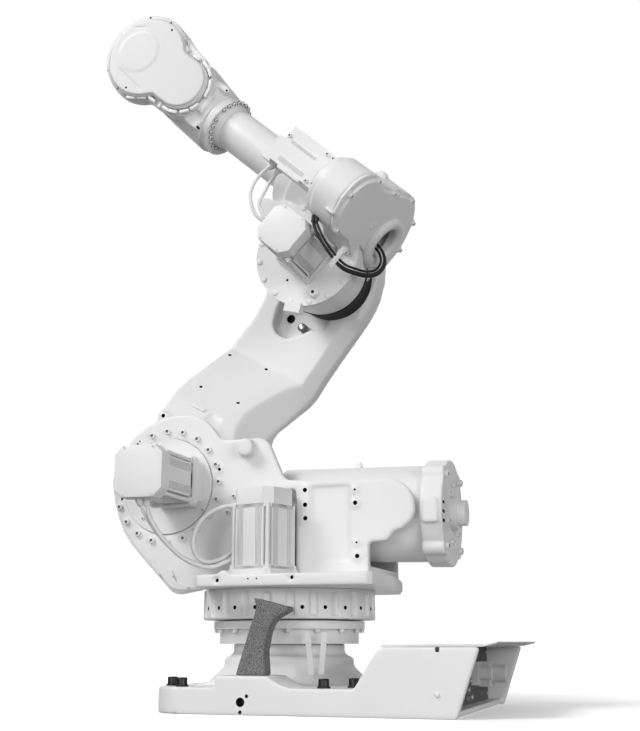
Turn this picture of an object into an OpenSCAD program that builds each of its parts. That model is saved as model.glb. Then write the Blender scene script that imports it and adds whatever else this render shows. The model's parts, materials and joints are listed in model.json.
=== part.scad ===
// Six-axis industrial robot arm on a floor base, with a balancing cylinder.
// Millimetres. X forward (arm side), Y to the motor side, Z up.
// Origin on the turning axis of the frame, in the floor plane.

/* [Main lengths] */
// Forward offset of the shoulder axis
shoulder_x = 410; // [300:1:500]
// Height of the shoulder axis
shoulder_z = 795; // [700:1:900]
// Shoulder to elbow length of the lower arm
lower_len = 1030; // [900:1:1200]
// Lean of the lower arm as shown, backward positive
lean = 30.3; // [0:0.1:60]
// Offset from the elbow axis to the forearm axis
elbow_off = 230; // [150:1:260]
// Rise of the forearm as shown
rise = 42.45; // [0:0.05:90]
// Forearm foot to wrist axis
wrist_s = 1187; // [1100:1:1400]
// Wrist axis to tool face
tool_n = 205; // [180:1:260]

/* [Base] */
// Half width of the base plate
base_hw = 475; // [400:1:520]
// Front edge of the base plate
base_front = 340; // [280:1:400]
// Thickness of the base plate
base_t = 85; // [60:1:120]
// Radius of the floor bolt holes
floor_hole_r = 13.5; // [10:0.5:18]
// Half spacing across of the outer floor bolts
bolt_out_y = 425; // [400:1:440]
// Half spacing across of the inner floor bolts
bolt_in_y = 350; // [300:1:360]

/* [Turntable] */
// Radius of the turning ring
ring_r = 317; // [280:1:340]
// Underside of the turning ring
ring_z0 = 307; // [300:1:320]
// Top of the turning ring
ring_z1 = 412; // [400:1:430]
// Number of pockets round the ring
ring_pockets = 24; // [12:1:36]

/* [Frame] */
// Top of the frame slab
slab_z = 455; // [440:1:470]
// Motor side edge of the frame slab
slab_y = 415; // [330:1:430]
// Outer face of the cheeks
cheek_y = 217; // [200:1:240]
// Inner face of the cheeks
cheek_in = 185; // [180:1:195]
// Back centre of the balancer pivot
pivot_x = -440; // [-500:1:-400]
// Height of the balancer pivot
pivot_z = 684; // [640:1:720]

/* [Motors] */
// Motor body width
motor_w = 165; // [140:1:190]
// Motor cap width
motor_cap = 184; // [160:1:210]

/* [Tool flange] */
// Radius of the tool disc
tool_r = 80; // [60:1:110]
// Bolt circle diameter on the tool disc
tool_pcd = 125; // [100:1:160]
// Radius of the tool bolt holes
tool_hole_r = 5.1; // [4:0.1:9]
// Radius of the tool centre bore
tool_bore_r = 31.5; // [25:0.5:40]

/* [Hidden] */
$fn = 96;
run = 0.05;
gap = 0.3;
elbow = [shoulder_x - lower_len * sin(lean), 0, shoulder_z + lower_len * cos(lean)];
foot = [elbow[0] - elbow_off * sin(rise), 0, elbow[2] + elbow_off * cos(rise)];
lug = [295, 698];
tilt0 = atan2(lug[1] - pivot_z, lug[0] - pivot_x);
cheek_pts = [
  [647, 824], [640, 780], [630, 733], [610, 678], [586, 627], [558, 588], [528, 555],
  [386, 410], [366, 400], [345, 398], [262, 412], [246, 425], [246, slab_z], [-366, slab_z],
  [-366, 566], [-430, 570], [-446, 586], [-452, 600], [-490, 612], [-520, 640], [-532, 670],
  [-530, 706], [-516, 744], [-488, 772], [-450, 787], [-361, 787], [-156, 792], [-60, 799],
  [-44, 818], [-24, 864], [6, 932], [22, 950], [46, 960], [142, 958], [182, 958], [205, 968],
  [232, 1004], [254, 1028], [278, 1046], [306, 1058], [336, 1064], [380, 1066], [422, 1061],
  [462, 1050], [501, 1032], [540, 1006], [576, 973], [606, 932], [630, 886]];
arm_side = [
  [60, -180], [150, -115], [190, 0], [205, 80], [222, 160], [236, 237], [262, 320], [273, 377],
  [275, 500], [271, 632], [254, 710], [247, 760], [250, 826], [258, 894], [255, 950], [240, 1010],
  [226, 1060], [200, 1140], [150, 1205], [80, 1248], [0, 1262], [-75, 1245], [-125, 1208],
  [-160, 1143], [-182, 1060], [-188, 1010], [-186, 950], [-178, 882], [-160, 740], [-150, 640],
  [-142, 500], [-136, 370], [-150, 300], [-175, 200], [-188, 100], [-190, 0], [-150, -115], [-60, -180]];
arm_front = [
  [135, -220], [135, 210], [110, 250], [60, 310], [-215, 590], [-215, 1300], [-330, 1300],
  [-330, 560], [-310, 520], [-145, 350], [-135, 330], [-135, -220]];
// slanted rear facet of the lower arm, measured across the slant
arm_facet = [
  [-400, -300], [-400, 120], [-260, 180], [-150, 250], [-95, 295], [-70, 320], [-23, 368], [12, 422],
  [40, 480], [75, 555], [74, 625], [68, 680], [64, 746], [60, 814], [53, 890], [40, 912], [22, 935],
  [25, 1010], [24, 1085], [18, 1175], [0, 1300], [700, 1300], [700, -300]];
far_pts = [for (q = cheek_pts) if (q[0] > 140 || q[1] < 790 || q[0] == 46) q[0] == 46 ? [60, 787] : q];
black_a = [[-45, 380, -110], [-50, 381, -126], [-62, 384, -132], [-88, 383, -147], [-116, 372, -168], [-146, 355, -180],
  [-168, 330, -187], [-184, 298, -191], [-196, 260, -191], [-208, 215, -184], [-222, 165, -168], [-240, 110, -144],
  [-248, 70, -110], [-236, 42, -76], [-212, 22, -48], [-172, 6, -26], [-130, 2, -18], [-60, 4, -12]];
white_a = [[344, 512, 705], [342, 511, 684], [334, 508, 650], [306, 492, 596], [275, 466, 550], [238, 432, 510],
  [194, 396, 486], [155, 366, 482], [122, 340, 498], [88, 324, 512]];
white_b = [[87, 318, 694], [118, 320, 697], [150, 327, 690], [190, 340, 668], [218, 352, 634], [232, 358, 594],
  [234, 360, 558], [218, 356, 522], [190, 348, 505], [150, 338, 516], [112, 326, 534], [86, 316, 552]];
white_e = [[368, 524, 705], [362, 518, 684], [352, 505, 652], [323, 482, 600], [290, 454, 556], [254, 416, 520],
  [222, 370, 500], [196, 332, 494], [160, 308, 498], [114, 296, 508], [79, 291, 520]];
white_c = [[262, 320, -57], [272, 326, -100], [270, 330, -150], [243, 335, -201], [190, 330, -239], [140, 322, -246], [84, 312, -240]];
white_d = [[240, 300, -49], [236, 304, -100], [220, 312, -156], [200, 318, -205], [150, 308, -228], [84, 298, -222]];

module xz(y0, y1, pts) {
  translate([0, y1, 0]) rotate([90, 0, 0]) linear_extrude(y1 - y0) polygon(pts);
}
module ycyl(x, z, r, y0, y1) {
  translate([x, y1, z]) rotate([90, 0, 0]) cylinder(r = r, h = y1 - y0);
}
module xcyl(x0, x1, r) {
  translate([x0, 0, 0]) rotate([0, 90, 0]) cylinder(r = r, h = x1 - x0);
}
module on_lower() {
  translate([shoulder_x, 0, shoulder_z]) rotate([0, -lean, 0]) children();
}
module on_fore() {
  translate(foot) rotate([0, -rise, 0]) children();
}
module on_balancer() {
  translate([pivot_x, 0, pivot_z]) rotate([0, -tilt0, 0]) children();
}
module cut_square(w, c) {
  h = w / 2;
  polygon([[h, h - c], [h - c, h], [c - h, h], [-h, h - c], [-h, c - h], [c - h, -h], [h - c, -h], [h, c - h]]);
}
// motor standing on its foot, foot at z 0, total height h
module motor(h, cap = motor_cap, foot = 18) {
  linear_extrude(foot) cut_square(motor_cap, 12);
  translate([0, 0, foot]) linear_extrude(h - 60 - foot) cut_square(motor_w, 14);
  translate([0, 0, h - 60]) linear_extrude(60) cut_square(cap, 24);
}

// round cable swept along hand-set points
function unit(v) = v / norm(v);
function along(p, i) = unit(p[min(i + 1, len(p) - 1)] - p[max(i - 1, 0)]);
function beside(p, i) = unit(cross([0, 1, 0], along(p, i)));
function above(p, i) = cross(along(p, i), beside(p, i));
module cable(p, r) {
  k = 8;
  m = len(p);
  pts = [for (i = [0:m - 1]) let (t = along(p, i), u = unit(cross([0, 1, 0], t)), v = cross(t, u))
    for (j = [0:k - 1]) p[i] + r * (cos(360 * j / k) * u + sin(360 * j / k) * v)];
  polyhedron(pts, concat(
    [for (i = [0:m - 2], j = [0:k - 1]) [i * k + j, (i + 1) * k + j, (i + 1) * k + (j + 1) % k, i * k + (j + 1) % k]],
    [[for (j = [0:k - 1]) j]], [[for (j = [0:k - 1]) m * k - 1 - j]]));
}

module base_casting() {
  color([0.9, 0.9, 0.9]) difference() {
    union() {
      linear_extrude(base_t) {
        translate([-372, -base_hw]) square([582, 2 * base_hw]);
        translate([-372, 130 - base_hw]) square([372 + base_front, 2 * base_hw - 260]);
        for (s = [-1, 1]) translate([base_front - 130, s * (base_hw - 130)]) circle(r = 130);
      }
      rotate_extrude() polygon([[0, 40], [300, 40], [300, base_t], [238, 146], [238, 172], [226, 180], [212, 184],
        [204, 196], [204, 223], [0, 223]]);
      for (s = [-1, 1]) translate([-96, s > 0 ? 290 : -base_hw, 60]) cube([186, base_hw - 290, 62]);
    }
    for (s = [-1, 1]) {
      for (x = [230, -270]) translate([x, s * bolt_out_y, -1]) cylinder(r = floor_hole_r, h = base_t + 2);
      for (x = [300, -350]) translate([x, s * bolt_in_y, -1]) cylinder(r = floor_hole_r, h = base_t + 2);
    }
  }
}

module rear_housing() {
  side = [[-372, 0], [-711, 0], [-787, 215], [-477, 215], [-460, 203], [-439, 175], [-383, 85], [-372, 85]];
  color([0.9, 0.9, 0.9]) {
    xz(base_hw - 22, base_hw, side);
    xz(-base_hw, 22 - base_hw, side);
    xz(21 - base_hw, base_hw - 21, [[-372, 0], [-700, 0], [-700, 18], [-396, 18], [-396, 74], [-459, 175], [-478, 200],
      [-498, 215], [-477, 215], [-460, 203], [-439, 175], [-383, 85], [-372, 85]]);
  }
}

module housing_lid() {
  color([0.88, 0.88, 0.88])
    xz(-458, 458, [[-470, 215.1], [-795, 215.1], [-840, 226], [-840, 231], [-795, 220.1], [-470, 220.1]]);
}

module connector_wall() {
  color([0.4, 0.4, 0.42]) translate([-652, -452.5, 18.2]) cube([12, 905, 196.5]);
}
module connector_power() {
  color([0.85, 0.85, 0.85]) {
    translate([-690, -390, 70]) cube([37.8, 130, 90]);
    translate([-689, -325, 115]) rotate([0, -90, 0]) cylinder(r = 32, h = 55);
  }
}
module connector_signal() {
  color([0.85, 0.85, 0.85]) {
    translate([-676, -180, 80]) cube([23.8, 80, 80]);
    translate([-675, -140, 120]) rotate([0, -90, 0]) cylinder(r = 22, h = 45);
  }
}

module stop_bracket() {
  color([0.45, 0.45, 0.45]) xz(365, 425, [[39, 122.1], [-68, 122.1], [-62, 200], [-74, 262], [-84, 284], [-98, 304],
    [-148, 330], [-146, 344], [-127, 346], [-22, 373], [-32, 345], [-26, 318], [-12, 282]]);
}

module gear_ring() {
  color([0.88, 0.88, 0.88]) rotate_extrude() polygon([[0, 223.1], [256, 223.1], [256, 274], [278, 274], [278, 302],
    [180, 302], [180, 398], [0, 398]]);
}
module strap_front() {
  color([0.92, 0.92, 0.92]) xz(268, 272, [[-152, 262], [-172, 262], [-186, 123], [-166, 123]]);
}
module strap_rear() {
  color([0.92, 0.92, 0.92]) xz(246, 250, [[-206, 262], [-226, 262], [-214, 123], [-194, 123]]);
}

module turntable() {
  color([0.9, 0.9, 0.9]) difference() {
    translate([0, 0, ring_z0]) cylinder(r = ring_r, h = ring_z1 - ring_z0);
    translate([0, 0, ring_z0 - 1]) cylinder(r = 180 + run, h = 97);
    for (i = [0:ring_pockets - 1]) rotate(i * 360 / ring_pockets)
      rotate(5) translate([ring_r - 11, -15, 318]) cube([20, 30, 80]);
  }
}
module frame_slab() {
  color([0.9, 0.9, 0.9]) translate([0, 0, ring_z1 + 0.1]) linear_extrude(slab_z - ring_z1 - 0.2)
    polygon([[210, slab_y - 20], [190, slab_y], [-410, slab_y], [-430, slab_y - 20], [-430, 100], [-380, 60], [-380, -217],
      [-330, -280], [-330, 20 - slab_y], [-310, -slab_y], [190, -slab_y], [210, 20 - slab_y], [245, -300], [245, 300]]);
}

module cheek(s) {
  difference() {
    union() {
      if (s > 0) {
        xz(cheek_in, cheek_y, cheek_pts);
        ycyl(shoulder_x, shoulder_z, 236, 150, cheek_in + 1);
        ycyl(88, 920, 33, cheek_y - 1, cheek_y + 45);
      } else {
        xz(-cheek_y, -cheek_in, far_pts);
        ycyl(shoulder_x, shoulder_z, 236, -cheek_in - 1, -150);
      }
    }
    if (s > 0) ycyl(shoulder_x, shoulder_z, 178.3, 140, cheek_y + 1);
    else ycyl(shoulder_x, shoulder_z, 120.3, -cheek_y - 1, -140);
    if (s > 0) ycyl(pivot_x, pivot_z, 45 + run, cheek_in - 1, cheek_y + 1);
    else ycyl(pivot_x, pivot_z, 45 + run, -cheek_y - 1, 1 - cheek_in);
    if (s > 0) translate([-96, cheek_in - 1, slab_z - 1]) cube([178, 34, 310]);
  }
}
module cheek_near() { color([0.9, 0.9, 0.9]) cheek(1); }
module cheek_far() { color([0.9, 0.9, 0.9]) cheek(-1); }

module frame_bridge() {
  color([0.9, 0.9, 0.9]) xz(0.1 - cheek_in, cheek_in - 0.1, [[-250, slab_z], [-366, slab_z], [-366, 488], [-270, 488]]);
}
module gear_shoulder() {
  color([0.9, 0.9, 0.9]) {
    ycyl(shoulder_x, shoulder_z, 178, 150, cheek_y + 5);
    ycyl(shoulder_x, shoulder_z, 110, 95, 151);
  }
}
module bearing_cap() {
  color([0.9, 0.9, 0.9]) {
    ycyl(shoulder_x, shoulder_z, 120, -cheek_y - 12, -150);
    ycyl(shoulder_x, shoulder_z, 80, -151, -95);
  }
}
module motor_turn() {
  color([0.92, 0.92, 0.92]) translate([-6, 295, slab_z]) rotate(-16.5) motor(300, 168);
}
module motor_shoulder() {
  color([0.92, 0.92, 0.92]) translate([shoulder_x - 57, cheek_y + 5.1, shoulder_z + 4]) rotate([-90, 0, 0]) motor(350, 182, 84);
}
module casting_cover() {
  color([0.9, 0.9, 0.9]) xz(cheek_y + 0.1, cheek_y + 6, [[430, 470], [400, 490], [380, 485], [360, 440], [300, 425], [290, 415],
    [345, 412], [378, 420]]);
}

module shoulder_cables() {
  color([0.92, 0.92, 0.92]) {
    cable(white_a, 8);
    cable(white_b, 8);
    cable(white_e, 5);
  }
}

module balancer_cylinder() {
  color([0.9, 0.9, 0.9]) on_balancer() difference() {
    xcyl(-104, 440, 174);
    xcyl(-60, 441, 120);
  }
}
module balancer_tail() {
  color([0.9, 0.9, 0.9]) on_balancer() difference() {
    translate([-184, 0, 0]) rotate([0, 90, 0]) linear_extrude(79.9) {
      circle(r = 192);
      for (a = [45:90:315]) rotate(a) translate([180, 0]) circle(r = 30);
    }
    xcyl(-185, -150, 60.3);
  }
}
module balancer_cap() {
  color([0.9, 0.9, 0.9]) on_balancer() {
    xcyl(-206, -150.1, 60);
    xcyl(-236, -205, 46);
  }
}
module trunnion_near() {
  color([0.8, 0.8, 0.82]) difference() {
    ycyl(pivot_x, pivot_z, 45, 150, cheek_y);
    on_balancer() xcyl(-104, 440, 174 + gap);
  }
}
module trunnion_far() {
  color([0.8, 0.8, 0.82]) difference() {
    ycyl(pivot_x, pivot_z, 45, -cheek_y, -150);
    on_balancer() xcyl(-104, 440, 174 + gap);
  }
}
module balancer_rod() {
  len = norm([lug[0] - pivot_x, lug[1] - pivot_z]);
  color([0.75, 0.75, 0.78]) on_balancer() difference() {
    union() {
      xcyl(150, len - 30, 28);
      ycyl(len, 0, 48, -32, 32);
    }
    ycyl(len, 0, 25 + run, -33, 33);
  }
}

module lower_arm() {
  color([0.9, 0.9, 0.9]) difference() {
    on_lower() intersection() {
      translate([0, 400, 0]) rotate([90, 0, 0]) linear_extrude(800) polygon(arm_side);
      translate([-400, 0, 0]) rotate([90, 0, 90]) linear_extrude(800) polygon(arm_front);
      rotate(-43) translate([0, 800, 0]) rotate([90, 0, 0]) linear_extrude(1600) polygon(arm_facet);
    }
    // seats of the shoulder bearings
    ycyl(shoulder_x, shoulder_z, 110 + run, 90, 140);
    ycyl(shoulder_x, shoulder_z, 80 + run, -140, -90);
    // slot for the balancer rod
    xz(-45, 45, [[340, 742], [52, 942], [-60, 942], [-60, 340], [520, 340], [565, 500]]);
    ycyl(lug[0], lug[1], 25 + gap, -136, 136);
    // pocket and cable hole under the elbow
    on_lower() {
      xz(-280, -200, [[175, 830], [155, 757], [119, 728], [70, 730], [20, 772], [-5, 806], [-60, 836], [-60, 905], [175, 905]]);
      ycyl(125, 819, 18, -310, -270);
    }
    // seat of the elbow
    ycyl(elbow[0], elbow[2], 90, -331, -300);
  }
  color([0.9, 0.9, 0.9]) ycyl(elbow[0], elbow[2], 120, -216, -120);
}
module rod_pin() {
  color([0.7, 0.7, 0.72]) ycyl(lug[0], lug[1], 25, -134, 134);
}

// outline of the elbow house seen along the forearm, x sideways and y up from the forearm axis
module heart() {
  intersection() {
    union() {
      translate([350, 12]) circle(r = 130);
      translate([27, -25]) circle(r = 235);
      polygon([[350, 140], [290, 138], [220, 158], [150, 190], [0, 0], [150, -150], [250, -112], [350, -116]]);
    }
    polygon([[500, -125], [350, -122], [250, -112], [165, -137], [76, -155], [-260, -160], [-260, 300], [500, 300]]);
  }
}
module slice(s0, s1) {
  translate([s0, 0, 0]) rotate([90, 0, 90]) linear_extrude(s1 - s0) children();
}
module elbow_clear() {
  ycyl(elbow[0], elbow[2], 208 + gap, 119.8, 140.3);
  translate([elbow[0], 140, elbow[2]]) rotate([-90, 0, 0]) rotate(-rise) translate([-96, -96, 0]) cube([192, 192, 300]);
}
module arm_house() {
  color([0.9, 0.9, 0.9]) difference() {
    union() {
      ycyl(elbow[0], elbow[2], 205, 60, 119.8);
      translate([elbow[0], 60, elbow[2]]) rotate([90, 0, 0]) cylinder(r1 = 205, r2 = 165, h = 210);
      on_fore() {
        slice(-130, -20) heart();
        xcyl(-21, 12, 190);
        xcyl(10, 262, 150);
        slice(-21, 12) {
          translate([340, 10]) circle(r = 120);
          translate([0, -60]) square([340, 170]);
        }
      }
    }
    ycyl(elbow[0], elbow[2], 120 + run, -220, -115);
    elbow_clear();
    on_fore() {
      xcyl(-231, 263, 90 + run);
      xcyl(-231, -129.8, 110 + gap);
    }
  }
}
module elbow_disc() {
  color([0.9, 0.9, 0.9]) {
    ycyl(elbow[0], elbow[2], 208, 120.1, 140);
    // travel stop under the disc
    translate([elbow[0], 0, elbow[2]]) rotate([0, -14, 0]) translate([-33, 121, -238]) cube([66, 34, 40]);
  }
}
module motor_elbow() {
  color([0.92, 0.92, 0.92]) translate([elbow[0], 140.4, elbow[2]]) rotate([-90, 0, 0]) rotate(-rise) motor(286, 160);
}
module motor_forearm() {
  color([0.92, 0.92, 0.92]) on_fore() {
    translate([12.1, 235, -48]) cube([243, 150, 153]);
    translate([255, 242, -56]) cube([34, 136, 104]);
  }
}
module rear_cover() {
  color([0.9, 0.9, 0.9]) difference() {
    on_fore() slice(-152, -130.1) heart();
    ycyl(elbow[0], elbow[2], 205 + gap, -300, 119.9);
    elbow_clear();
    on_fore() xcyl(-153, -129, 110 + gap);
  }
}
module cable_ring() {
  color([0.9, 0.9, 0.9]) on_fore() translate([-130.2, 0, 0]) rotate([0, -90, 0]) rotate_extrude() {
    translate([66, 0]) square([44, 22]);
    translate([88, 22]) circle(r = 22);
  }
}
module rear_cables() {
  color([0.1, 0.1, 0.1]) on_fore() {
    cable(black_a, 6);
    cable([for (i = [0:len(black_a) - 1]) black_a[i] + 14 * beside(black_a, i)], 6);
    cable([for (i = [0:len(black_a) - 1]) black_a[i] - 14 * above(black_a, i)], 6);
  }
}
module motor_cables() {
  color([0.92, 0.92, 0.92]) on_fore() {
    cable(white_c, 7);
    cable(white_d, 7);
  }
}

module forearm_tube() {
  color([0.9, 0.9, 0.9]) on_fore() difference() {
    xcyl(200, 761, 90);
    xcyl(199, 762, 66);
  }
}
module wrist_flange() {
  color([0.9, 0.9, 0.9]) on_fore() difference() {
    union() {
      translate([0, 0, -14]) xcyl(746, 778, 127);
      translate([714, 0, 0]) rotate([0, 90, 0]) cylinder(r1 = 92, r2 = 103, h = 33);
    }
    xcyl(713, 761.2, 90.3);
  }
}
module wrist_housing() {
  color([0.9, 0.9, 0.9]) on_fore() difference() {
    union() {
      // tapering body behind the flange
      intersection() {
        translate([778, 0, -20]) rotate([0, 82.4, 0]) translate([0, 0, -40]) cylinder(r1 = 128, r2 = 150, h = 300);
        translate([778.1, -138, -200]) cube([206.9, 276, 400]);
      }
      xz(92, 138, [[955, -135], [1000, -140], [1040, -139], [1090, -152], [1130, -182], [wrist_s, -194], [wrist_s, 194],
        [1120, 186], [1080, 172], [1040, 161], [955, 146]]);
      ycyl(955, 2, 137, 92, 138);
      ycyl(wrist_s, 0, 194, 92, 138);
      xz(-138, -98, [[880, -132], [1040, -130], [wrist_s, -118], [wrist_s, 118], [1040, 130], [880, 132]]);
      ycyl(wrist_s, 0, 118, -138, -98);
    }
    ycyl(wrist_s, 0, 60 + run, 91, 130);
    ycyl(wrist_s, 0, 50 + run, -130, -97);
  }
}
module wrist_cover() {
  color([0.92, 0.92, 0.92]) on_fore() {
    xz(138.1, 172, [[950, -112], [1030, -112], [1090, -142], [1130, -172], [wrist_s, -184], [wrist_s, 184], [1120, 172],
      [1080, 142], [1030, 118], [950, 118]]);
    ycyl(955, 3, 115, 138.1, 172);
    ycyl(wrist_s, 0, 186, 138.1, 172);
  }
}
module wrist_cap() {
  color([0.9, 0.9, 0.9]) on_fore() ycyl(wrist_s, 0, 78, -152, -138.1);
}
module tilt_housing() {
  color([0.9, 0.9, 0.9]) on_fore() {
    ycyl(wrist_s, 0, 118, -92, 86);
    ycyl(wrist_s, 0, 60, 85, 128);
    ycyl(wrist_s, 0, 50, -128, -91);
    xcyl(wrist_s, wrist_s + 178, 86);
  }
}
module tool_disc() {
  color([0.75, 0.75, 0.78]) on_fore() translate([wrist_s, 0, 0]) rotate([0, 90, 0]) difference() {
    translate([0, 0, 178.1]) cylinder(r = tool_r, h = tool_n - 178.1);
    translate([0, 0, tool_n - 8]) cylinder(r = tool_bore_r, h = 9);
    for (i = [0:5]) rotate(i * 60) translate([tool_pcd / 2, 0, tool_n - 16]) cylinder(r = tool_hole_r, h = 17, $fn = 32);
  }
}

base_casting();
rear_housing();
housing_lid();
connector_wall();
connector_power();
connector_signal();
stop_bracket();
gear_ring();
strap_front();
strap_rear();
turntable();
frame_slab();
cheek_near();
cheek_far();
frame_bridge();
gear_shoulder();
bearing_cap();
motor_turn();
motor_shoulder();
casting_cover();
shoulder_cables();
balancer_cylinder();
balancer_tail();
balancer_cap();
trunnion_near();
trunnion_far();
balancer_rod();
lower_arm();
rod_pin();
arm_house();
elbow_disc();
motor_elbow();
motor_forearm();
rear_cover();
cable_ring();
rear_cables();
motor_cables();
forearm_tube();
wrist_flange();
wrist_housing();
wrist_cover();
wrist_cap();
tilt_housing();
tool_disc();
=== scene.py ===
import bpy, bmesh, math, json
from mathutils import Vector, Matrix


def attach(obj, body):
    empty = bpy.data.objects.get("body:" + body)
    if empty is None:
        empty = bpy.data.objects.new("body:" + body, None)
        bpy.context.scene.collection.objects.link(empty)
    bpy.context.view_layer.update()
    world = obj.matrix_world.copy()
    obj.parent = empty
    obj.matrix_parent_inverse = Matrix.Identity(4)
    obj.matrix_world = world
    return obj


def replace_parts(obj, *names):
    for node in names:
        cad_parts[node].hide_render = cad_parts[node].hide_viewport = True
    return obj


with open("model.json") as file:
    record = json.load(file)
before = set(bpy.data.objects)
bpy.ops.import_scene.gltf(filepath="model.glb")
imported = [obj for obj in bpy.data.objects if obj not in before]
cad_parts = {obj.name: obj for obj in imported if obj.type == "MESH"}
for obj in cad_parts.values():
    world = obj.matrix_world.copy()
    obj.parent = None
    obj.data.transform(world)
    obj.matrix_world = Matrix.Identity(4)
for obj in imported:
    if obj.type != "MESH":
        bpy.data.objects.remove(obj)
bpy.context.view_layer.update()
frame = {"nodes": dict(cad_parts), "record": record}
N = frame["nodes"]
scene = bpy.context.scene
COL = scene.collection

# ---------------------------------------------------------------- camera
fwd = Vector((0.3007, -0.9208, 0.2487)).normalized()
right = fwd.cross(Vector((0, 0, 1))).normalized()
up = right.cross(fwd)
cam_data = bpy.data.cameras.new("camera")
cam = bpy.data.objects.new("camera", cam_data)
COL.objects.link(cam)
M = Matrix((right, up, -fwd)).transposed().to_4x4()
M.translation = Vector((-1.3823, 3.8701, 0.2277))
cam.matrix_world = M
cam_data.sensor_width = 36
cam_data.lens = 53.13
cam_data.clip_end = 200
scene.camera = cam

# ---------------------------------------------------------------- places
mm = 0.001
SH = Vector((410, 0, 795)) * mm
LEAN = math.radians(30.3)
RISE = math.radians(42.45)
EL = Vector((410 - 1030 * math.sin(LEAN), 0, 795 + 1030 * math.cos(LEAN))) * mm
A = Vector((math.cos(RISE), 0, math.sin(RISE)))
NN = Vector((-math.sin(RISE), 0, math.cos(RISE)))
FT = EL + 230 * mm * NN
Y = Vector((0, 1, 0))
W = Vector((math.cos(LEAN), 0, math.sin(LEAN)))
T = Vector((-math.sin(LEAN), 0, math.cos(LEAN)))


def P(x, y, z):
    return Vector((x, y, z)) * mm


def fore(s, y, n):
    return FT + (s * A + n * NN) * mm + Vector((0, y * mm, 0))


def low(w, y, t):
    return SH + (w * W + t * T) * mm + Vector((0, y * mm, 0))


def basis(o, x, z):
    """matrix with its z along z and its x as near to x as it can be, at o"""
    z = Vector(z).normalized()
    x = Vector(x)
    x = (x - x.dot(z) * z).normalized()
    y = z.cross(x)
    m = Matrix((x, y, z)).transposed().to_4x4()
    m.translation = o
    return m


# ---------------------------------------------------------------- materials
def principled(name):
    m = bpy.data.materials.new(name)
    m.use_nodes = True
    nt = m.node_tree
    b = nt.nodes["Principled BSDF"]
    return m, nt, b


def paint(name, col, dark, rough=0.42, peel=0.25, coat=0.08, scale=2.2):
    """sprayed paint on a casting: slow tone drift, fine orange peel, a little sheen drift"""
    m, nt, b = principled(name)
    L = nt.links
    tc = nt.nodes.new("ShaderNodeTexCoord")
    big = nt.nodes.new("ShaderNodeTexNoise")
    big.inputs["Scale"].default_value = scale
    big.inputs["Detail"].default_value = 4
    L.new(tc.outputs["Object"], big.inputs["Vector"])
    ramp = nt.nodes.new("ShaderNodeValToRGB")
    ramp.color_ramp.elements[0].position = 0.3
    ramp.color_ramp.elements[1].position = 0.7
    ramp.color_ramp.elements[0].color = (*dark, 1)
    ramp.color_ramp.elements[1].color = (*col, 1)
    L.new(big.outputs["Fac"], ramp.inputs["Fac"])
    L.new(ramp.outputs["Color"], b.inputs["Base Color"])
    rr = nt.nodes.new("ShaderNodeMapRange")
    rr.inputs["To Min"].default_value = rough - 0.05
    rr.inputs["To Max"].default_value = rough + 0.07
    mid = nt.nodes.new("ShaderNodeTexNoise")
    mid.inputs["Scale"].default_value = 14
    mid.inputs["Detail"].default_value = 3
    L.new(tc.outputs["Object"], mid.inputs["Vector"])
    L.new(mid.outputs["Fac"], rr.inputs["Value"])
    L.new(rr.outputs["Result"], b.inputs["Roughness"])
    fine = nt.nodes.new("ShaderNodeTexNoise")
    fine.inputs["Scale"].default_value = 260
    fine.inputs["Detail"].default_value = 2
    L.new(tc.outputs["Object"], fine.inputs["Vector"])
    slow = nt.nodes.new("ShaderNodeTexNoise")
    slow.inputs["Scale"].default_value = 26
    slow.inputs["Detail"].default_value = 2
    L.new(tc.outputs["Object"], slow.inputs["Vector"])
    bp = nt.nodes.new("ShaderNodeBump")
    bp.inputs["Strength"].default_value = peel
    bp.inputs["Distance"].default_value = 0.0006
    L.new(fine.outputs["Fac"], bp.inputs["Height"])
    bp2 = nt.nodes.new("ShaderNodeBump")
    bp2.inputs["Strength"].default_value = peel * 0.6
    bp2.inputs["Distance"].default_value = 0.002
    L.new(slow.outputs["Fac"], bp2.inputs["Height"])
    L.new(bp.outputs["Normal"], bp2.inputs["Normal"])
    L.new(bp2.outputs["Normal"], b.inputs["Normal"])
    b.inputs["Coat Weight"].default_value = coat
    b.inputs["Specular IOR Level"].default_value = 0.4
    b.inputs["Coat Roughness"].default_value = 0.25
    return m


def metal(name, col, rough, scale=120.0, bump=0.1):
    m, nt, b = principled(name)
    L = nt.links
    tc = nt.nodes.new("ShaderNodeTexCoord")
    n1 = nt.nodes.new("ShaderNodeTexNoise")
    n1.inputs["Scale"].default_value = scale
    n1.inputs["Detail"].default_value = 5
    L.new(tc.outputs["Object"], n1.inputs["Vector"])
    ramp = nt.nodes.new("ShaderNodeValToRGB")
    ramp.color_ramp.elements[0].position = 0.3
    ramp.color_ramp.elements[1].position = 0.75
    ramp.color_ramp.elements[0].color = (*[c * 0.78 for c in col], 1)
    ramp.color_ramp.elements[1].color = (*col, 1)
    L.new(n1.outputs["Fac"], ramp.inputs["Fac"])
    L.new(ramp.outputs["Color"], b.inputs["Base Color"])
    rr = nt.nodes.new("ShaderNodeMapRange")
    rr.inputs["To Min"].default_value = rough - 0.08
    rr.inputs["To Max"].default_value = rough + 0.1
    L.new(n1.outputs["Fac"], rr.inputs["Value"])
    L.new(rr.outputs["Result"], b.inputs["Roughness"])
    bp = nt.nodes.new("ShaderNodeBump")
    bp.inputs["Strength"].default_value = bump
    bp.inputs["Distance"].default_value = 0.0006
    L.new(n1.outputs["Fac"], bp.inputs["Height"])
    L.new(bp.outputs["Normal"], b.inputs["Normal"])
    b.inputs["Metallic"].default_value = 1.0
    return m


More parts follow.
